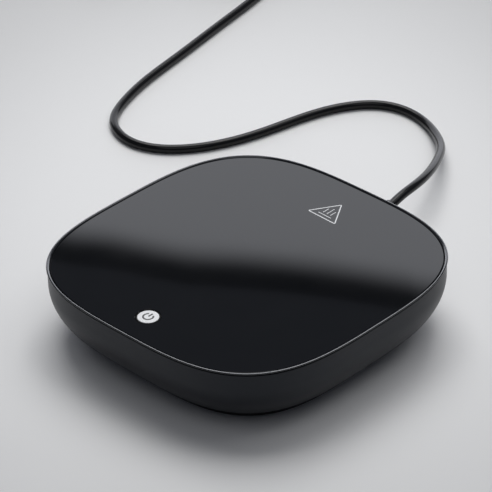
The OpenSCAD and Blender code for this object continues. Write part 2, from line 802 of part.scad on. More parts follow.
shell_y = plug_y - grip_boot - grip[1];
module plug_shell() {
    hole = [2.4, 2];
    color(steel) difference() {
        block([shell[0], shell[1], shell[2]], [plug_x, shell_y - shell[1] / 2, plug_z - shell[2] / 2]);
        block([shell[0] - 2 * shell_t, shell[1], shell[2] - 2 * shell_t],
            [plug_x, shell_y - shell[1] / 2 - shell_t, plug_z - shell[2] / 2 + shell_t]);
        for (x = [-1, 1]) block([hole[0], hole[1], shell[2] + 2 * cut],
            [plug_x + x * 2.9, shell_y - shell[1] * 0.55, plug_z - shell[2] / 2 - cut]);
    }
}

tongue_z = plug_z - shell[2] / 2 + shell_t;
tongue_back = shell_y - shell_t;
module plug_tongue() {
    color("white") block(tongue, [plug_x, tongue_back - tongue[1] / 2, tongue_z]);
}

module plug_contacts() {
    contact = [1, 10, 0.15];
    color("gold") for (i = [0 : contact_count - 1]) block(contact, [
        plug_x + (i - (contact_count - 1) / 2) * contact_pitch,
        tongue_back - tongue[1] + 1.2 + contact[1] / 2, tongue_z + tongue[2]]);
}

upper_housing();
glass_plate();
glass_seal();
base_cover();
foot_front_left();
foot_front_right();
foot_back_left();
foot_back_right();
housing_screws();
heat_pad();
heat_spreader();
heating_film();
heating_track();
insulation_pad();
heater_tray();
tray_screws();
thermal_cutoff();
temperature_sensor();
sensor_clip();
control_board();
board_screws();
board_chips();
board_capacitor();
board_connectors();
button_lamps();
switch_case();
switch_plunger();
button_sleeve();
power_button();
strain_relief();
supply_leads();
heater_leads();
sensor_leads();
cord();
cord_coil();
cord_end();
coil_tie();
plug_grip();
plug_shell();
plug_tongue();
plug_contacts();
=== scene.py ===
"""Electric mug warmer on a pale studio floor, at its real size, in metres.

Lengths in this file are written in millimetres and turned to metres where a mesh is made. The
body is a superellipse seen from above: every ring of the housing and of the glass is that
outline moved inwards by an inset.
"""
import math

import bmesh
import bpy
import numpy as np
from mathutils import Matrix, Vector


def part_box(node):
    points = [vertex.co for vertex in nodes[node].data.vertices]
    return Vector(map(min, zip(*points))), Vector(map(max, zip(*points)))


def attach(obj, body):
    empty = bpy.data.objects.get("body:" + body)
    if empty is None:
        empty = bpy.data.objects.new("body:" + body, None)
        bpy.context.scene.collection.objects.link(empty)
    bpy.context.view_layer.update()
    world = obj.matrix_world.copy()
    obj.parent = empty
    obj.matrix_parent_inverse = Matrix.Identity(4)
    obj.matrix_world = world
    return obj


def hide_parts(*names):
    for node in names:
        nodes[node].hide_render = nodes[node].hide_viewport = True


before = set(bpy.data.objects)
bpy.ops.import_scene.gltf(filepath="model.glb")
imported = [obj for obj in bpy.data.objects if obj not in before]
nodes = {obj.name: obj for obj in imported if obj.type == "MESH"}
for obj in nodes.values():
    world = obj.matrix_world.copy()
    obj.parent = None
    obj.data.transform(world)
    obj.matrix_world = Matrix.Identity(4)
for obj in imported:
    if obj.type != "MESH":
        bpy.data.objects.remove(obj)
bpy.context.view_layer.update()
MM = 0.001

# ---------------------------------------------------------------- sizes, in millimetres
HALF = 60.0                        # half the body's width and depth
OUTLINE_POWER = 3.26               # exponent of the superellipse
LIP_Z, LIP_W = 27.0, 1.0           # top and width of the lip
LIP_PROUD = 0.3                    # how far the lip's edge stands out past the side wall
GROOVE_BOTTOM, GROOVE_TOP, GROOVE_INSET = 25.9, 26.5, 0.75      # shadow groove under the lip
WALL_T, WALL_UPRIGHT = 2.0, 6.6    # side wall: its thickness, and how far down the arc begins
HEM_Z, HEM_INSET = 3.6, 9.9        # lower edge of the side wall
GLASS_TOP, GLASS_BOTTOM, GLASS_INSET = 26.6, 23.6, 1.2
HOLE_R, HOLE_EDGE_R = 4.38, 4.48   # hole in the glass, below and at its ground edge
BUTTON_AT, BUTTON_R = (0.0, -47.2), 3.7
SLEEVE_BORE_R, SLEEVE_R, FLANGE_R = 3.78, 4.18, 6.18            # guide sleeve round the button
CORD_R = 1.7
EXIT_Y, EXIT_Z = 60.0, 14.0        # where the cord leaves the body
PORT_BORE_R, PORT_R, PORT_FROM, PORT_TO = 3.2, 5.5, 51.7, 59.3  # its port: radii, ends along y
RELIEF_R, RELIEF_START, RELIEF_END = 3.12, 52.0, 74.0           # the strain relief, likewise
# coil: its middle, the middle radius of its turns, their spacing and its height off the table
COIL_AT, COIL_MID_R, COIL_PITCH, COIL_LIFT = (-194.0, 197.0), 19.0, 3.46, 0.45
PLUG_AT, PLUG_LENGTH = (-229.0, 188.0, 4.0), 30                 # the cord's end, and the grip

# ---------------------------------------------------------------- camera
VIEW_AZIMUTH, VIEW_ELEVATION, VIEW_ROLL = 0.7804, 0.5754, -0.0254   # radians
VIEW_DISTANCE = 0.961506    # metres, from the middle of the body at the lip's height
# level directions to four digits: away from the camera, and across the view to its right
AWAY = np.round([-math.sin(VIEW_AZIMUTH), math.cos(VIEW_AZIMUTH), 0], 4)
ACROSS = np.round([math.cos(VIEW_AZIMUTH), math.sin(VIEW_AZIMUTH), 0], 4)


def right_and_up(back):
    """The level direction to the right and the upright one of something that looks against back."""
    right = np.cross([0, 0, 1], back)
    right /= np.linalg.norm(right)
    return right, np.cross(back, right)


def stand(thing, right, up, back, at):
    """A camera or a light at a point, looking against its back direction."""
    place = np.eye(4)
    place[:3] = np.column_stack([right, up, back, at])
    thing.matrix_world = Matrix(place.tolist())
    bpy.context.scene.collection.objects.link(thing)
    return thing


def aim_camera():
    """Long lens over the corner between the button side and the right side; gives its place."""
    flat = math.cos(VIEW_ELEVATION)
    back = np.array([math.sin(VIEW_AZIMUTH) * flat, -math.cos(VIEW_AZIMUTH) * flat,
                     math.sin(VIEW_ELEVATION)])
    level, upright = right_and_up(back)
    right = math.cos(VIEW_ROLL) * level + math.sin(VIEW_ROLL) * upright
    up = -math.sin(VIEW_ROLL) * level + math.cos(VIEW_ROLL) * upright
    data = bpy.data.cameras.new("camera")
    data.lens, data.sensor_width = 206.26, 36
    data.shift_x, data.shift_y = -0.00199, 0.02424
    data.clip_start, data.clip_end = 0.05, 20
    at = back * VIEW_DISTANCE + [0, 0, LIP_Z * MM]
    bpy.context.scene.camera = stand(bpy.data.objects.new("camera", data), right, up, back, at)
    return at


camera_at = aim_camera()


# ---------------------------------------------------------------- meshes
def grid_faces(rows, cols, wrap_rows=False, wrap_cols=True):
    """Quads between neighbouring points of a rows by cols grid, numbered row after row."""
    r = np.arange(rows if wrap_rows else rows - 1)[:, None]
    c = np.arange(cols if wrap_cols else cols - 1)[None, :]
    below, beside = (r + 1) % rows, (c + 1) % cols
    quads = [r * cols + c, r * cols + beside, below * cols + beside, below * cols + c]
    return np.stack(quads, -1).reshape(-1, 4)


def lay_uv(mesh, name, uv):
    """A UV map with one pair for each point of the mesh."""
    layer = mesh.uv_layers.new(name=name)
    corners = np.zeros(len(mesh.loops), np.int32)
    mesh.loops.foreach_get("vertex_index", corners)
    flat = np.asarray(uv, np.float32).reshape(-1, 2)[corners]
    layer.data.foreach_set("uv", flat.ravel())


def make_piece(name, points, faces, material, body="body", slot=None, replaces=(), sharp=40,
               uv=None):
    """A mesh object from points in millimetres, welded where they meet, that rides on a body."""
    mesh = bpy.data.meshes.new(name)
    points = np.asarray(points).reshape(-1, 3) * MM
    mesh.from_pydata(points.tolist(), [], np.asarray(faces).tolist())
    if uv is not None:
        lay_uv(mesh, "surface", uv)
    work = bmesh.new()
    work.from_mesh(mesh)
    bmesh.ops.remove_doubles(work, verts=work.verts, dist=1e-7)
    bmesh.ops.dissolve_degenerate(work, edges=work.edges, dist=1e-8)
    work.to_mesh(mesh)
    work.free()
    mesh.polygons.foreach_set("use_smooth", np.ones(len(mesh.polygons), bool))
    mesh.set_sharp_from_angle(angle=math.radians(sharp))
    mesh.materials.append(material)
    piece = bpy.data.objects.new(name, mesh)
    bpy.context.scene.collection.objects.link(piece)
    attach(piece, body)
    if replaces:
        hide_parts(*replaces)
    return piece


def grid_piece(name, points, material, closed=False, turn_over=False, **settings):
    """A piece from a grid of points: its columns close into rings, and so do its rows if closed."""
    faces = grid_faces(*points.shape[:2], wrap_rows=closed)
    return make_piece(name, points, faces[:, ::-1] if turn_over else faces, material, **settings)


def outline(inset, count=256):
    """Superellipse: at each angle the radius at which |x/a|^n + |y/a|^n is 1, where a is the
    half width less the inset."""
    t = np.linspace(0, 2 * np.pi, count, endpoint=False)
    n = OUTLINE_POWER
    radius = (HALF - inset) * (np.abs(np.cos(t)) ** n + np.abs(np.sin(t)) ** n) ** (-1 / n)
    return np.stack([radius * np.cos(t), radius * np.sin(t)], -1)


def level_ring(points, z):
    """Points in plan, all at one height."""
    return np.column_stack([points, np.full(len(points), z)])


def arc(centre, radius, start, end, steps):
    """Points on a circle from one angle to another, in degrees, both ends included."""
    a = np.radians(np.linspace(start, end, steps + 1))
    return [(centre[0] + radius * math.cos(x), centre[1] + radius * math.sin(x)) for x in a]


def turned(profile, at=(0, 0, 0), axis="z", count=96):
    """A profile of (radius, height) points turned about an upright axis, or about one along y."""
    r, h = np.array(profile, float).T
    t = np.linspace(0, 2 * np.pi, count, endpoint=False)
    across, along = r[:, None] * np.cos(t), r[:, None] * np.sin(t)
    height = np.repeat(h[:, None], count, 1)
    parts = (across, along, height) if axis == "z" else (-across, height, along)
    return np.stack(parts, -1) + np.array(at)


def smooth_line(points, steps):
    """Catmull-Rom curve: cubic pieces through all points, led by the chord of the neighbours."""
    p = np.array(points, float)
    p = np.vstack([2 * p[0] - p[1], p, 2 * p[-1] - p[-2]])
    t = (np.arange(steps) / steps)[:, None]
    a, b, c, d = (p[k:len(p) - 3 + k, None, :] for k in range(4))
    square, cube = 2 * a - 5 * b + 4 * c - d, 3 * b - a - 3 * c + d
    curve = 0.5 * (2 * b + (c - a) * t + square * t**2 + cube * t**3)
    return np.vstack([curve.reshape(-1, 3), p[-2]])


def eased(line, passes, held=12):
    """Each point moves, pass after pass, to half of itself and a quarter of both neighbours. The
    share of this that it keeps falls to nothing over the held length at both ends."""
    soft = line.copy()
    for _ in range(passes):
        soft[1:-1] = (soft[:-2] + 2 * soft[1:-1] + soft[2:]) / 4
    gone = np.linalg.norm(line - line[0], axis=1)
    left = np.linalg.norm(line - line[-1], axis=1)
    share = np.clip(np.minimum(gone, left) / held, 0, 1)[:, None]
    return line + (soft - line) * share


def tube(path, radius, sides=16):
    """Circles across a path that is nowhere upright, with a pole at each end. Gives the points
    and the UV, where u goes round and v is the distance along the path in metres."""
    ahead = np.gradient(path, axis=0)
    ahead /= np.linalg.norm(ahead, axis=1, keepdims=True)
    side = np.cross([0, 0, 1], ahead)
    side /= np.linalg.norm(side, axis=1, keepdims=True)
    up = np.cross(ahead, side)
    t = np.linspace(0, 2 * np.pi, sides, endpoint=False)[:, None]
    rings = path[:, None] + radius * (np.cos(t) * side[:, None] + np.sin(t) * up[:, None])
    ends = [np.repeat(path[k][None, None], sides, 1) for k in (0, -1)]
    gone = np.concatenate([[0], np.cumsum(np.linalg.norm(np.diff(path, axis=0), axis=1))])
    gone = np.concatenate([[0], gone, gone[-1:]])
    uv = np.stack(np.broadcast_arrays(t[:, 0] / (2 * np.pi), gone[:, None] * MM), -1)
    return np.concatenate([ends[0], rings, ends[1]]), uv


# ---------------------------------------------------------------- materials
FLOAT, VECTOR = "NodeSocketFloat", "NodeSocketVector"


def node_group(name, inputs, outputs, build):
    """A shader node group with named inputs (kind, default) and outputs, filled in by build."""
    group = bpy.data.node_groups.new(name, "ShaderNodeTree")
    for title, (kind, value) in inputs.items():
        socket = group.interface.new_socket(title, in_out="INPUT", socket_type=kind)
        socket.default_value = value
    for title, kind in outputs.items():
        group.interface.new_socket(title, in_out="OUTPUT", socket_type=kind)
    enter, leave = group.nodes.new("NodeGroupInput"), group.nodes.new("NodeGroupOutput")
    build(group, enter.outputs, leave.inputs)
    return group


def add(tree, kind, links=None, **settings):
    """A node with its settings; links gives a value or another socket for each of its inputs."""
    node = tree.nodes.new(kind)
    for key, value in settings.items():
        setattr(node, key, value)
    for key, value in (links or {}).items():
        if isinstance(value, bpy.types.NodeSocket):
            tree.links.new(value, node.inputs[key])
        else:
            node.inputs[key].default_value = value
    return node


def mixed(tree, factor, first, second):
    """A colour between two others by a factor. The Mix node's colours are its inputs 6 and 7."""
    links = {0: factor, 6: first, 7: second}
    return add(tree, "ShaderNodeMix", links, data_type="RGBA").outputs[2]


def ranged(tree, value, low, high, to_low=0.0, to_high=1.0, **settings):
    """A value from one range to another, held at the second range's ends."""
    links = {"Value": value, "From Min": low, "From Max": high, "To Min": to_low, "To Max": to_high}
    return add(tree, "ShaderNodeMapRange", links, **settings).outputs["Result"]


BUMP_METRES = 0.0001


def build_grain(g, enter, leave):
    """Moulded or cast grain: two sizes of noise give a bumped normal and an uneven roughness."""
    place = add(g, "ShaderNodeTexCoord").outputs["Object"]
    fine = add(g, "ShaderNodeTexNoise",
               {"Vector": place, "Scale": enter["Grains per metre"], "Detail": 3.0})
    broad = add(g, "ShaderNodeTexNoise", {"Vector": place, "Scale": 60.0, "Detail": 4.0})
    clouds = broad.outputs["Fac"]
    bump = add(g, "ShaderNodeBump", {"Height": fine.outputs["Fac"], "Strength": enter["Depth"],
                                     "Distance": BUMP_METRES})
    g.links.new(bump.outputs["Normal"], leave["Normal"])
    swing = add(g, "ShaderNodeMath", {0: clouds, 1: 0.5}, operation="SUBTRACT").outputs[0]
    spread = add(g, "ShaderNodeMath", {0: swing, 1: enter["Unevenness"]}, operation="MULTIPLY")
    rough = add(g, "ShaderNodeMath", {0: enter["Roughness"], 1: spread.outputs[0]},
                operation="ADD", use_clamp=True)
    g.links.new(rough.outputs[0], leave["Roughness"])
    g.links.new(clouds, leave["Clouds"])


GRAIN = node_group("fine_grain", {
    "Grains per metre": (FLOAT, 4000.0), "Depth": (FLOAT, 0.2), "Roughness": (FLOAT, 0.5),
    "Unevenness": (FLOAT, 0.1),
}, {"Normal": VECTOR, "Roughness": FLOAT, "Clouds": FLOAT}, build_grain)


def build_lines(g, enter, leave):
    """Drawn or brushed lines: noise stretched one way, for roughness and a shallow bump."""
    place = add(g, "ShaderNodeTexCoord").outputs["Object"]
    drawn = add(g, "ShaderNodeMapping", {"Vector": place, "Scale": enter["Stretch"]}).outputs[0]
    noise = add(g, "ShaderNodeTexNoise", {"Vector": drawn, "Scale": 1.0, "Detail": 5.0})
    lines = noise.outputs["Fac"]
    bump = add(g, "ShaderNodeBump",
               {"Height": lines, "Strength": enter["Depth"], "Distance": BUMP_METRES})
    rough = add(g, "ShaderNodeMapRange",
                {"Value": lines, "To Min": enter["Smoothest"], "To Max": enter["Roughest"]})
    g.links.new(bump.outputs["Normal"], leave["Normal"])
    g.links.new(rough.outputs["Result"], leave["Roughness"])
    g.links.new(lines, leave["Lines"])


LINES = node_group("drawn_lines", {
    "Stretch": (VECTOR, (200.0, 6000.0, 6000.0)), "Depth": (FLOAT, 0.1),
    "Smoothest": (FLOAT, 0.2), "Roughest": (FLOAT, 0.4),
}, {"Normal": VECTOR, "Roughness": FLOAT, "Lines": FLOAT}, build_lines)


def new_material(name, **constants):
    """A material with a Principled BSDF whose plain values sit on its own sockets."""
    material = bpy.data.materials.new(name)
    material.use_nodes = True
    tree = material.node_tree
    shader = tree.nodes["Principled BSDF"]
    for key, value in constants.items():
        shader.inputs[key.replace("_", " ")].default_value = value
    return material, tree, shader


def group_node(tree, group, **values):
    """A node that places a group with its own values; an underscore stands for a space."""
    node = tree.nodes.new("ShaderNodeGroup")
    node.node_tree = group
    for key, value in values.items():
        node.inputs[key.replace("_", " ")].default_value = value
    return node


def two_tones(tree, shader, effect, factor, dark, light):
    """Base colour between two close tones by one output of an effect, and the effect's normal."""
    colour = mixed(tree, effect.outputs[factor], (*dark, 1), (*light, 1))
    tree.links.new(colour, shader.inputs["Base Color"])
    tree.links.new(effect.outputs["Normal"], shader.inputs["Normal"])


def grained(name, dark, light, grains, depth, rough, uneven, **constants):
    """Moulded, cast or pressed stuff: two close tones in soft clouds under a fine grain."""
    material, tree, shader = new_material(name, **constants)
    grain = group_node(tree, GRAIN, Grains_per_metre=grains, Depth=depth, Roughness=rough,
                       Unevenness=uneven)
    two_tones(tree, shader, grain, "Clouds", dark, light)
    tree.links.new(grain.outputs["Roughness"], shader.inputs["Roughness"])
    return material


def brushed(name, dark, light, stretch, smooth=0.22, rough=0.4):
    """Drawn or rolled metal: two close tones along fine lines."""
    material, tree, shader = new_material(name, Metallic=1.0)
    lines = group_node(tree, LINES, Stretch=stretch, Depth=0.08, Smoothest=smooth, Roughest=rough)
    two_tones(tree, shader, lines, "Lines", dark, light)
    tree.links.new(lines.outputs["Roughness"], shader.inputs["Roughness"])
    return material


def housing_material():
    """Satin moulding, polished on the lip, which begins between two heights, and coarser where
    it turns under the body. Heights are read from the Object coordinates, in metres."""
    polish_from, polish_to, polished = 0.0264, 0.0267, 0.16
    coarse_to, coarse_from, coarse = 0.004, 0.011, 0.75
    material, tree, shader = new_material("satin_plastic", IOR=1.4, Coat_Roughness=0.12,
                                          Specular_Tint=(0.84, 0.9, 1.0, 1.0))
    grain = group_node(tree, GRAIN, Grains_per_metre=5200.0, Depth=0.14, Roughness=0.38,
                       Unevenness=0.08)
    place = add(tree, "ShaderNodeTexCoord").outputs["Object"]
    height = add(tree, "ShaderNodeSeparateXYZ", {0: place}).outputs["Z"]
    lip = ranged(tree, height, polish_from, polish_to)
    wall = ranged(tree, height, coarse_to, coarse_from, coarse, grain.outputs["Roughness"])
    rough = ranged(tree, lip, 0.0, 1.0, wall, polished)
    two_tones(tree, shader, grain, "Clouds", (0.009, 0.0094, 0.0112), (0.012, 0.0125, 0.0146))
    tree.links.new(rough, shader.inputs["Roughness"])
    tree.links.new(lip, shader.inputs["Coat Weight"])
    return material


# each grained finish: dark tone, light tone, grains per metre, depth, roughness, unevenness
satin_plastic = housing_material()
base_plastic = grained("base_plastic", (0.004, 0.004, 0.0045), (0.007, 0.007, 0.0075),
                       2600, 0.35, 0.75, 0.1, IOR=1.3)
black_glass = grained("black_glass", (0.0045, 0.005, 0.006), (0.006, 0.0065, 0.0075),
                      30, 0.0, 0.035, 0.02, IOR=1.52)
cord_jacket = grained("cord_jacket", (0.006, 0.006, 0.0065), (0.009, 0.009, 0.01),
                      1500, 0.04, 0.17, 0.06, IOR=1.32)
relief_rubber = grained("relief_rubber", (0.012, 0.012, 0.012), (0.018, 0.018, 0.018),
                        3500, 0.2, 0.45, 0.1)
foot_rubber = grained("foot_rubber", (0.02, 0.02, 0.02), (0.03, 0.03, 0.03),
                      2400, 0.4, 0.75, 0.15)
milky_cap = grained("milky_cap", (0.74, 0.75, 0.755), (0.79, 0.795, 0.80),
                    3000, 0.03, 0.25, 0.06)
dark_ink = grained("dark_ink", (0.004, 0.0042, 0.0045), (0.007, 0.0072, 0.0075),
                   5000, 0.05, 0.5, 0.1)
pale_ink = grained("pale_ink", (0.62, 0.63, 0.64), (0.74, 0.75, 0.76), 5000, 0.1, 0.45, 0.1)
strap_weave = grained("strap_weave", (0.02, 0.02, 0.021), (0.035, 0.035, 0.036),
                      2500, 0.5, 0.8, 0.1)


# ---------------------------------------------------------------- cord, coil and plug
def cord_path():
    """From the strain relief along the table into the coil, round its two layers, to the plug."""
    loose = [  # from the strain relief's tip down to the table, then along it to the coil
        (-1, 82, 14.6), (-2, 88, 14.3), (-3, 94, 13.6), (-7, 104, 11.6), (-12, 113, 9.3),
        (-17, 121, 7.2), (-21, 127, 5.5), (-26, 132, 4.1), (-33, 138, 2.5), (-42, 143, 1.7),
        (-50, 145, 1.7), (-57, 145, 1.7),
        (-63, 143, 1.7), (-68, 140, 1.7), (-73, 134, 1.7), (-77, 127, 1.7), (-80, 118, 1.7),
        (-82, 109, 1.7), (-84, 97, 1.7), (-87, 86, 1.7), (-91, 77, 1.7), (-95, 70, 1.7),
        (-101, 63, 1.7), (-108, 58, 1.7), (-116, 56, 1.7), (-123, 57, 1.7), (-130, 60, 1.7),
        (-135, 64, 1.7), (-139, 70, 1.7), (-142, 78, 1.7), (-146, 88, 1.7), (-149, 102, 1.7),
        (-151, 115, 1.7), (-154, 129, 1.7), (-157, 143, 1.7), (-160, 159, 1.7),
        (-163, 175, 1.7), (-167, 189, 1.7)]
    outer, inner = COIL_MID_R + 1.5 * COIL_PITCH, COIL_MID_R - 1.5 * COIL_PITCH
    # degrees: three turns inwards on the table, a climb at the inner turn, three turns outwards
    layer, climb, first = 1080, 101, 15
    whole = 2 * layer + climb
    angle = np.append(np.arange(0, whole, 5.0), whole)
    radius = np.interp(angle, [0, layer, layer + climb, whole], [outer, inner, inner, outer])
    share = np.clip((angle - layer) / climb, 0, 1)
    height = CORD_R + COIL_LIFT + COIL_PITCH * share**2 * (3 - 2 * share)
    turn = np.radians(first + angle)
    coil = np.stack([COIL_AT[0] + radius * np.cos(turn), COIL_AT[1] + radius * np.sin(turn),
                     height], -1)
    end = [(-214, 213, 5), (-223, 206, 4.5), (-228, 197, 4),
           (PLUG_AT[0], PLUG_AT[1] + 1, PLUG_AT[2])]
    steps, passes = 6, 45
    out = eased(smooth_line([(0, RELIEF_END + 1, EXIT_Z), *loose, coil[0]], steps), passes)
    away = smooth_line([coil[-1], *end], steps)
    path = np.vstack([[(0, RELIEF_END, EXIT_Z)], out[:-1], coil, away[1:], [PLUG_AT]])
    path[:, 2] = np.maximum(path[:, 2], CORD_R)
    return path


path = cord_path()
points, uv = tube(path, CORD_R)
cord = grid_piece("cord_run", points, cord_jacket, slot="cord_jacket",
                  replaces=("cord", "cord_coil", "cord_end"), uv=uv)


def strain_relief():
    """Turned round the cord's axis: a neck in the port, four soft ribs that shrink outwards and
    a plain tip."""
    rib_pitch, taper = 2.75, 0.23
    # each rib: how far in from its radius, how far along from its start
    rib = [(-0.1, -0.15), (0.35, 0.2), (0.45, 0.55), (0.4, 0.9), (0.08, 1.25), (0.01, 1.6)]
    profile = [(0, RELIEF_START), (RELIEF_R, RELIEF_START), (RELIEF_R, EXIT_Y + 1.4)]
    for i in range(4):
        y, r = EXIT_Y + 2 + i * rib_pitch, RELIEF_R - taper * (i + 0.5)
        profile += [(r - lower, y + along) for lower, along in rib]
    profile += [(2.2, RELIEF_END - 0.5), (2.05, RELIEF_END - 0.1), (CORD_R, RELIEF_END),
                (0, RELIEF_END)]
    return turned(profile, (0, 0, EXIT_Z), axis="y", count=48)


relief = grid_piece("cord_relief", strain_relief(), relief_rubber, slot="cord_jacket",
                    replaces=("strain_relief",), sharp=55)


def coil_section(grow):
    """Outline of the coiled turns cut across, as (radius, height): the rectangle through the
    outermost cord middles, grown by the cord's radius and a little more."""
    r, half = CORD_R + grow, 1.5 * COIL_PITCH
    middle = COIL_LIFT + (COIL_PITCH + 2 * CORD_R) / 2
    corners = [(half, 1), (-half, 1), (-half, -1), (half, -1)]
    return np.array([p for k, (x, s) in enumerate(corners)
                     for p in arc((COIL_MID_R + x, middle + s * COIL_PITCH / 2), r,
                                  90 * k, 90 * k + 90, 8)])


def coil_strap():
    """A woven strap: the coil's section carried a short way round it, outside and back inside."""
    width, outside, inside, at = 9, 0.43, 0.06, math.radians(255)
    span = width / COIL_MID_R
    angle = at + np.linspace(-span / 2, span / 2, 13)
    rings = []
    for grow, turns in ((outside, angle), (inside, angle[::-1])):
        r, z = coil_section(grow).T
        rings += [np.column_stack([COIL_AT[0] + r * math.cos(a), COIL_AT[1] + r * math.sin(a), z])
                  for a in turns]
    points = np.stack(rings)
    uv = np.stack(np.broadcast_arrays(np.linspace(0, 0.045, points.shape[1])[None, :],
                                      np.linspace(0, 0.018, points.shape[0])[:, None]), -1)
    return points, uv


points, uv = coil_strap()
strap = grid_piece("coil_strap", points, strap_weave, closed=True, slot="tie",
                   replaces=("coil_tie",), uv=uv)


def plug_grip():
    """Sections across the plug's line, from the tapered tail to the flat grip: each is a
    superellipse whose half width, half height and exponent are read off along the line, less
    the waves of the tail and of the grip ribs."""
    keys = np.array([  # distance from the cord's end, half width, half height, exponent
        (0, 1.7, 1.7, 2), (0.02, 2.5, 2.5, 2), (0.5, 2.65, 2.65, 2), (7.2, 3.2, 3.2, 2),
        (7.8, 3.6, 3.3, 2.2), (8.6, 5.2, 3.6, 2.8), (9.6, 6.6, 3.85, 3.4), (11, 7.4, 3.95, 4.2),
        (13, 7.75, 3.98, 5), (28, 7.75, 3.98, 5), (29.2, 7.7, 3.95, 5), (29.8, 7.4, 3.7, 5),
        (PLUG_LENGTH, 6.9, 3.3, 5)])

    def waves(s, start, length, pitch):
        """Smooth waves from 0 to 1 over a stretch of the line, and 0 elsewhere."""
        return 0.5 - 0.5 * np.cos(2 * np.pi * np.clip(s - start, 0, length) / pitch)

    s = np.unique(np.concatenate([keys[:, 0], np.arange(0.5, PLUG_LENGTH, 0.25)]))
    wide, high, power = (np.interp(s, keys[:, 0], keys[:, k]) for k in (1, 2, 3))
    ribs, tail = waves(s, 15, 10, 2), waves(s, 1.4, 4.8, 1.2)
    high, wide = high - 0.28 * ribs - 0.3 * tail, wide - 0.12 * ribs - 0.3 * tail
    t = np.linspace(0, 2 * np.pi, 72, endpoint=False)
    c, q = np.cos(t), np.sin(t)
    x = wide[:, None] * np.sign(c) * np.abs(c) ** (2 / power[:, None])
    z = high[:, None] * np.sign(q) * np.abs(q) ** (2 / power[:, None])
    y = np.repeat(-s[:, None], len(t), 1)
    rings = np.stack([x, y, z], -1) + np.array(PLUG_AT)
    poles = [np.broadcast_to(np.array(PLUG_AT) - [0, d, 0], (1, len(t), 3))
             for d in (0, PLUG_LENGTH)]
    return np.concatenate([poles[0], rings, poles[1]])


grip = grid_piece("plug_body", plug_grip(), relief_rubber, slot="plug_grip",
                  replaces=("plug_grip",), sharp=50)


# ---------------------------------------------------------------- body
def housing():
    """Side wall: upright below the lip, then an arc that turns under the body by twice the angle
    whose tangent is the hem's inset over the drop. It stands a little behind the lip, with a
    shadow groove between the two. The lip is rounded outside and bevelled towards the glass."""
    top = LIP_Z - WALL_UPRIGHT
    whole = 2 * math.atan(HEM_INSET / (top - HEM_Z))
    turn_r = (top - HEM_Z) / math.sin(whole)
    narrowed = 1 - LIP_PROUD / HEM_INSET
    upright, round_r, lip_r = 5.2, 0.15, 0.35
    step_z = 22.4   # halfway up the deck, where the wall gets its whole thickness

    def wall(a):
        return turn_r * (1 - math.cos(a)), top - turn_r * math.sin(a)

    profile = [(HEM_INSET + 1.9, HEM_Z + 0.12), (HEM_INSET + 1.7, HEM_Z),
               (HEM_INSET + 0.45, HEM_Z), (HEM_INSET + 0.2, HEM_Z + 0.05)]
    profile += [(LIP_PROUD + x * narrowed, z)
                for x, z in (wall(a) for a in np.linspace(whole - 0.012, 0, 26))]
    profile += [(LIP_PROUD, top + k * upright / 4) for k in range(1, 5)]
    profile += [(LIP_PROUD + round_r + x, z)
                for x, z in arc((0, GROOVE_BOTTOM - round_r), round_r, 180, 90, 4)]
    profile += [(GROOVE_INSET, GROOVE_BOTTOM), (GROOVE_INSET, GROOVE_TOP), (0.08, GROOVE_TOP),
                (0, GROOVE_TOP + 0.06)]
    profile += [(lip_r + x, z) for x, z in arc((0, LIP_Z - lip_r), lip_r, 180, 90, 8)]
    profile += [(0.45, LIP_Z), (0.55, LIP_Z - 0.05), (LIP_W - 0.05, LIP_Z - 0.45),
                (LIP_W, LIP_Z - 0.55), (LIP_W, step_z), (WALL_T, step_z)]
    profile += [(wall(a)[0] + WALL_T, wall(a)[1]) for a in np.linspace(0, whole - 0.02, 10)]
    return np.stack([level_ring(outline(inset), z) for inset, z in profile])


grid_piece("housing_shell", housing(), satin_plastic, closed=True, slot="housing",
           replaces=("upper_housing",), sharp=32)

# (radius, y): the inner end, the outside, the rounded outer end
port_profile = [(PORT_BORE_R, PORT_FROM), (PORT_R, PORT_FROM), (PORT_R, PORT_TO),
                *arc((PORT_R - 0.4, PORT_TO), 0.4, 0, 90, 4),
                (PORT_BORE_R + 0.25, PORT_TO + 0.4), (PORT_BORE_R, PORT_TO + 0.2)]
grid_piece("cord_port", turned(port_profile, (0, 0, EXIT_Z), axis="y", count=72), satin_plastic,
           closed=True, slot="housing", replaces=("upper_housing",), sharp=50)


def glass():
    """Plate with a hole for the button: rings spread along rays from the hole's middle to the
    outline, with ground edges."""
    edge = outline(GLASS_INSET)
    hole = np.array(BUTTON_AT)
    ray = edge - hole
    reach = np.linalg.norm(ray, axis=1, keepdims=True)
    ray /= reach
    rings = [level_ring(hole + ray * r, z) for r, z in (
        (HOLE_R, GLASS_BOTTOM), (HOLE_R, GLASS_TOP - 0.1), (HOLE_EDGE_R, GLASS_TOP))]
    rings += [level_ring(hole + ray * (HOLE_EDGE_R + s * (reach - 0.3 - HOLE_EDGE_R)), GLASS_TOP)
              for s in (0.01, 0.1, 0.3, 0.6, 0.9, 1.0)]
    rings += [level_ring(outline(inset), z) for inset, z in (
        (1.4, GLASS_TOP), (GLASS_INSET, GLASS_TOP - 0.2), (GLASS_INSET, GLASS_BOTTOM))]
    return np.stack(rings)


grid_piece("glass_top", glass(), black_glass, closed=True, turn_over=True, slot="glass",
           replaces=("glass_plate",), sharp=15)

# (radius, height): the stem on the switch, the flange that keeps the cap in, the rounded face
cap_profile = [(0, 15), (2, 15), (2, 18.3), (4.58, 18.3), (4.58, 19.2), (BUTTON_R, 19.2),
               (BUTTON_R, GLASS_TOP - 0.3),
               *arc((BUTTON_R - 0.2, GLASS_TOP - 0.2), 0.2, 0, 90, 5),
               (BUTTON_R - 0.22, GLASS_TOP), (2, GLASS_TOP), (0, GLASS_TOP)]
grid_piece("button_cap", turned(cap_profile, (*BUTTON_AT, 0)), milky_cap, body="button",
           slot="button", replaces=("power_button",), sharp=50)

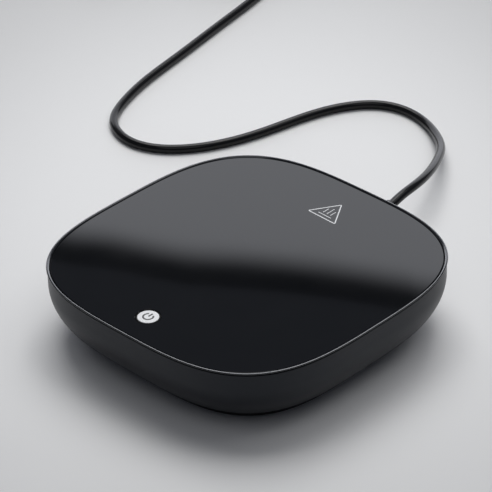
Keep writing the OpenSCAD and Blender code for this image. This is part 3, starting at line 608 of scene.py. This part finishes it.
# (radius, height): the lower end, the flange under the glass, the rim in its hole
sleeve_profile = [(SLEEVE_BORE_R, 19.9), (SLEEVE_R, 19.9), (SLEEVE_R, 22.2), (FLANGE_R, 22.2),
                  (FLANGE_R, 23.55), (SLEEVE_R, 23.55), (SLEEVE_R, GLASS_TOP - 0.18),
                  (SLEEVE_R - 0.06, GLASS_TOP - 0.1), (SLEEVE_BORE_R + 0.06, GLASS_TOP - 0.1),
                  (SLEEVE_BORE_R, GLASS_TOP - 0.16)]
grid_piece("button_ring", turned(sleeve_profile, (*BUTTON_AT, 0)), base_plastic, closed=True,
           slot="sleeve", replaces=("button_sleeve",))

# (radius, height): flat below, a rounded edge, and an upright side into its seat in the base
foot_profile = [(0, 0), (4, 0), (6.45, 0), *arc((6.5, 0.5), 0.5, -90, 0, 5), (7, 1.6), (0, 1.6)]
for foot in ("foot_front_left", "foot_front_right", "foot_back_left", "foot_back_right"):
    low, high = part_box(foot)
    middle = ((low.x + high.x) / 2 / MM, (low.y + high.y) / 2 / MM, 0)
    grid_piece(foot + "_pad", turned(foot_profile, middle, count=64), foot_rubber,
               slot="foot_rubber", replaces=(foot,))


# ---------------------------------------------------------------- printed marks
def stroke(line, width, low, high, closed=False):
    """A flat line of ink: each point moved to both sides by half the width, on the mitre of its
    two neighbours."""
    p = np.array(line, float)
    before = np.roll(p, 1, 0) if closed else np.vstack([2 * p[0] - p[1], p[:-1]])
    after = np.roll(p, -1, 0) if closed else np.vstack([p[1:], 2 * p[-1] - p[-2]])
    d1, d2 = (v / np.linalg.norm(v, axis=1, keepdims=True) for v in (p - before, after - p))
    across = np.stack([-(d1 + d2)[:, 1], (d1 + d2)[:, 0]], -1)
    across /= np.linalg.norm(across, axis=1, keepdims=True)
    normal = np.stack([-d1[:, 1], d1[:, 0]], -1)
    half = width / 2 / (across * normal).sum(1, keepdims=True)
    points = np.stack([level_ring(p + s * half * across, z)
                       for s, z in ((1, low), (1, high), (-1, high), (-1, low))])
    if not closed:
        middle = [np.broadcast_to(points[:, k].mean(0), (4, 1, 3)) for k in (0, -1)]
        points = np.concatenate([middle[0], points, middle[1]], 1)
    return points, grid_faces(*points.shape[:2], wrap_rows=True, wrap_cols=closed)


def joined(shapes):
    """Several point grids and their faces as one."""
    points, faces, offset = [], [], 0
    for p, f in shapes:
        points.append(p.reshape(-1, 3))
        faces.append(f + offset)
        offset += len(points[-1])
    return np.vstack(points), np.vstack(faces)


def power_sign(low, high):
    """Open ring with a bar through its gap, which faces the middle of the glass."""
    ring = arc(BUTTON_AT, 1.72, 125, 415, 40)
    bar = [(BUTTON_AT[0], BUTTON_AT[1] + y) for y in (0.15, 1.1, 2.15)]
    return joined([stroke(line, 0.62, low, high) for line in (ring, bar)])


def heat_sign(low, high):
    """Outlined triangle with a base line and three short upright bars, the middle one longer."""
    corners = np.array([(-5.7, 36.95), (7.1, 36.55), (0.6, 47.25)])
    corner_cut, middle_x, longer = 0.6, 0.65, 1.1
    rim = []
    for k, corner in enumerate(corners):
        ways = [corners[j % 3] - corner for j in (k - 1, k + 1)]
        a, b = (corner + corner_cut * w / np.linalg.norm(w) for w in ways)
        rim += [(1 - t) ** 2 * a + 2 * t * (1 - t) * corner + t**2 * b
                for t in np.linspace(0, 1, 6)]
    bars = [[(x, y) for y in (39.5, 41.0, 42.4 + (longer if x == middle_x else 0))]
            for x in (-1.05, middle_x, 2.35)]
    base = [(-2.4, 38.5), (0.6, 38.4), (3.7, 38.3)]
    return joined([stroke(rim, 0.42, low, high, closed=True), stroke(base, 0.3, low, high)]
                  + [stroke(bar, 0.28, low, high) for bar in bars])


INK_SUNK = 0.01
make_piece("power_sign", *power_sign(GLASS_TOP - INK_SUNK, GLASS_TOP + 0.015), dark_ink,
           body="button")
make_piece("heat_sign", *heat_sign(GLASS_TOP - INK_SUNK, GLASS_TOP + 0.012), pale_ink)

# ---------------------------------------------------------------- inner parts, the plug's metal
screw_steel = brushed("screw_steel", (0.45, 0.45, 0.46), (0.62, 0.62, 0.63), (2500, 2500, 300))
tray_steel = brushed("tray_steel", (0.5, 0.5, 0.51), (0.66, 0.66, 0.67), (150, 5000, 5000))
plug_steel = brushed("plug_steel", (0.58, 0.58, 0.6), (0.72, 0.72, 0.74), (6000, 300, 6000),
                     smooth=0.28, rough=0.42)
aluminium = brushed("aluminium", (0.7, 0.71, 0.72), (0.8, 0.81, 0.82), (5000, 150, 5000))
copper = brushed("copper", (0.62, 0.27, 0.14), (0.78, 0.38, 0.2), (900, 900, 900))
gold_strip = brushed("gold_strip", (0.78, 0.52, 0.2), (0.9, 0.64, 0.28), (6000, 200, 6000),
                     smooth=0.15, rough=0.25)
seal_foam = grained("seal_foam", (0.03, 0.03, 0.03), (0.05, 0.05, 0.05), 1800, 0.6, 0.9, 0.1)
heat_paste = grained("heat_paste", (0.42, 0.43, 0.45), (0.52, 0.53, 0.55), 1500, 0.4, 0.8, 0.1)
amber_film = grained("amber_film", (0.42, 0.16, 0.02), (0.52, 0.22, 0.03), 700, 0.1, 0.25, 0.1,
                     Coat_Weight=0.5)
fibre_felt = grained("fibre_felt", (0.7, 0.67, 0.58), (0.8, 0.77, 0.69), 900, 1.0, 0.95, 0.05)
resin_bead = grained("resin_bead", (0.2, 0.07, 0.02), (0.3, 0.12, 0.04), 1200, 0.1, 0.2, 0.1)
green_board = grained("green_board", (0.01, 0.09, 0.03), (0.02, 0.14, 0.05), 600, 0.3, 0.3, 0.1)
moulded_black = grained("moulded_black", (0.012, 0.012, 0.012), (0.02, 0.02, 0.02),
                        4000, 0.3, 0.55, 0.1)
blue_sleeve = grained("blue_sleeve", (0.01, 0.02, 0.12), (0.02, 0.035, 0.18), 800, 0.1, 0.25, 0.1)
white_nylon = grained("white_nylon", (0.7, 0.68, 0.62), (0.78, 0.76, 0.71), 2500, 0.2, 0.5, 0.1)
lamp_resin = grained("lamp_resin", (0.75, 0.76, 0.74), (0.85, 0.86, 0.84), 900, 0.05, 0.15, 0.05)
red_lead = grained("red_lead", (0.35, 0.015, 0.015), (0.45, 0.03, 0.03), 1500, 0.1, 0.35, 0.1)
white_lead = grained("white_lead", (0.7, 0.7, 0.68), (0.8, 0.8, 0.78), 1500, 0.1, 0.4, 0.1)
yellow_lead = grained("yellow_lead", (0.65, 0.45, 0.03), (0.75, 0.55, 0.05), 1500, 0.1, 0.4, 0.1)

FINISHES = {
    "base_cover": base_plastic, "glass_seal": seal_foam, "housing_screws": screw_steel,
    "heat_pad": heat_paste, "heat_spreader": aluminium, "heating_film": amber_film,
    "heating_track": copper, "insulation_pad": fibre_felt, "heater_tray": tray_steel,
    "tray_screws": screw_steel, "thermal_cutoff": aluminium, "temperature_sensor": resin_bead,
    "sensor_clip": tray_steel, "control_board": green_board, "board_screws": screw_steel,
    "board_chips": moulded_black, "board_capacitor": blue_sleeve, "board_connectors": white_nylon,
    "button_lamps": lamp_resin, "switch_case": moulded_black, "switch_plunger": moulded_black,
    "supply_leads": red_lead, "heater_leads": white_lead, "sensor_leads": yellow_lead,
    "plug_shell": plug_steel, "plug_tongue": white_nylon, "plug_contacts": gold_strip}
for name, finish in FINISHES.items():
    for place in nodes[name].material_slots:
        place.material = finish


# ---------------------------------------------------------------- floor and studio light
def stage_mesh(name, points, faces, material):
    """A mesh in metres that isn't part of the object."""
    mesh = bpy.data.meshes.new(name)
    mesh.from_pydata(np.asarray(points).tolist(), [], np.asarray(faces).tolist())
    mesh.materials.append(material)
    thing = bpy.data.objects.new(name, mesh)
    bpy.context.scene.collection.objects.link(thing)
    return thing


def floor_material():
    """Pale painted sheet with painted shade: its colour darkens softly with the distance from a
    point behind the body, on an oval that is longer away from the camera than across, a painted
    pool of light."""
    middle, half_across, half_away = np.round(0.05 * AWAY, 4), 0.105, 0.15
    shade_from, shade_to, darkest = 0.5, 2.0, 0.4
    material, tree, shader = new_material("floor_paint_and_painted_shade")
    grain = group_node(tree, GRAIN, Grains_per_metre=300.0, Depth=0.02, Roughness=0.6,
                       Unevenness=0.1)
    place = add(tree, "ShaderNodeTexCoord").outputs["Object"]
    oval = add(tree, "ShaderNodeMapping",
               {"Vector": place, "Location": middle, "Rotation": (0.0, 0.0, VIEW_AZIMUTH),
                "Scale": (half_across, half_away, 1.0)}, vector_type="TEXTURE")
    away = add(tree, "ShaderNodeVectorMath", {0: oval.outputs[0]}, operation="LENGTH")
    # painted shade: the floor's colour falls towards black away from the oval's middle, as light
    # fall-off
    painted_shade = ranged(tree, away.outputs["Value"], shade_from, shade_to, 0.0, darkest,
                   interpolation_type="SMOOTHSTEP")
    pale = mixed(tree, grain.outputs["Clouds"], (0.737, 0.737, 0.735, 1), (0.752, 0.752, 0.75, 1))
    tree.links.new(mixed(tree, painted_shade, pale, (0.0, 0.0, 0.0, 1)), shader.inputs["Base Color"])
    tree.links.new(grain.outputs["Roughness"], shader.inputs["Roughness"])
    return material


FLOOR_HALF = 4
stage_mesh("floor", [(-FLOOR_HALF, -FLOOR_HALF, 0), (FLOOR_HALF, -FLOOR_HALF, 0),
                     (FLOOR_HALF, FLOOR_HALF, 0), (-FLOOR_HALF, FLOOR_HALF, 0)],
           [(0, 1, 2, 3)], floor_material())


def light_wall_material(uv_name):
    """Even white light that fades out over the top edge; v is the share of the edge's height."""
    fade_from, fade_to, strength = 0.975, 1.012, 1.4
    material = bpy.data.materials.new("light_wall")
    material.use_nodes = True
    tree = material.node_tree
    tree.nodes.clear()
    share = add(tree, "ShaderNodeUVMap", uv_map=uv_name).outputs[0]
    v = add(tree, "ShaderNodeSeparateXYZ", {0: share}).outputs["Y"]
    fade = ranged(tree, v, fade_from, fade_to, strength, 0.0, interpolation_type="SMOOTHSTEP")
    glow = add(tree, "ShaderNodeEmission", {"Strength": fade, "Color": (0.955, 0.975, 1.04, 1)})
    add(tree, "ShaderNodeOutputMaterial", {"Surface": glow.outputs[0]})
    return material


def light_wall():
    """Soft light wall behind the object. Its top edge is where the camera's mirror image in the
    glass sees the edge of the pale zone, so each point of it is on the ray from that image
    through the glass. The wall goes on past both ends of the edge."""
    distance, past_end = 1.5, 0.9
    eye = np.round(camera_at, 5) * [1, 1, -1] + [0, 0, 2 * GLASS_TOP * MM]
    zone_edge = np.array([  # on the glass, in half widths of the body
        (-1.25, -0.62), (-0.92, -0.54), (-0.69, -0.41), (-0.27, -0.24), (0.05, -0.02),
        (0.40, 0.19), (0.82, 0.39), (0.95, 0.43), (1.35, 0.62)]) * HALF * MM
    ray = level_ring(zone_edge, GLASS_TOP * MM) - eye
    edge = smooth_line(eye + ray * ((distance - eye @ AWAY) / (ray @ AWAY))[:, None], 6)
    edge = np.vstack([edge[:1] - past_end * ACROSS, edge, edge[-1:] + past_end * ACROSS])
    rows = np.array([0, 0.3, 0.6, 0.8, 0.88, 0.91, 0.94, 0.97, 1.0, 1.03])
    points = edge * [1, 1, 0] + edge * [0, 0, 1] * rows[:, None, None]
    wall = stage_mesh("light_wall", points.reshape(-1, 3),
                      grid_faces(*points.shape[:2], wrap_cols=False), light_wall_material("share"))
    v = np.repeat(rows, points.shape[1])
    lay_uv(wall.data, "share", np.column_stack([0 * v, v]))
    wall.visible_camera = False
    wall.visible_shadow = False


light_wall()


def soft_light(name, at, power, width=1.2):
    """A square area light that faces the origin, in metres and watts."""
    data = bpy.data.lights.new(name, "AREA")
    data.shape, data.size, data.size_y = "RECTANGLE", width, width
    data.energy = power
    back = np.array(at) / np.linalg.norm(at)
    stand(bpy.data.objects.new(name, data), *right_and_up(back), back, at)


soft_light("back_softbox", (-0.598, 0.604, 1.472), 20.2)
soft_light("side_softbox", (0.38, 0.83, 1.43), 5)
soft_light("front_softbox", (0.598, -0.604, 1.472), 3)

world = bpy.data.worlds.new("studio")
world.use_nodes = True
world.node_tree.nodes["Background"].inputs["Color"].default_value = (0.084, 0.09, 0.108, 1)
bpy.context.scene.world = world
bpy.context.scene.view_settings.view_transform = "Standard"
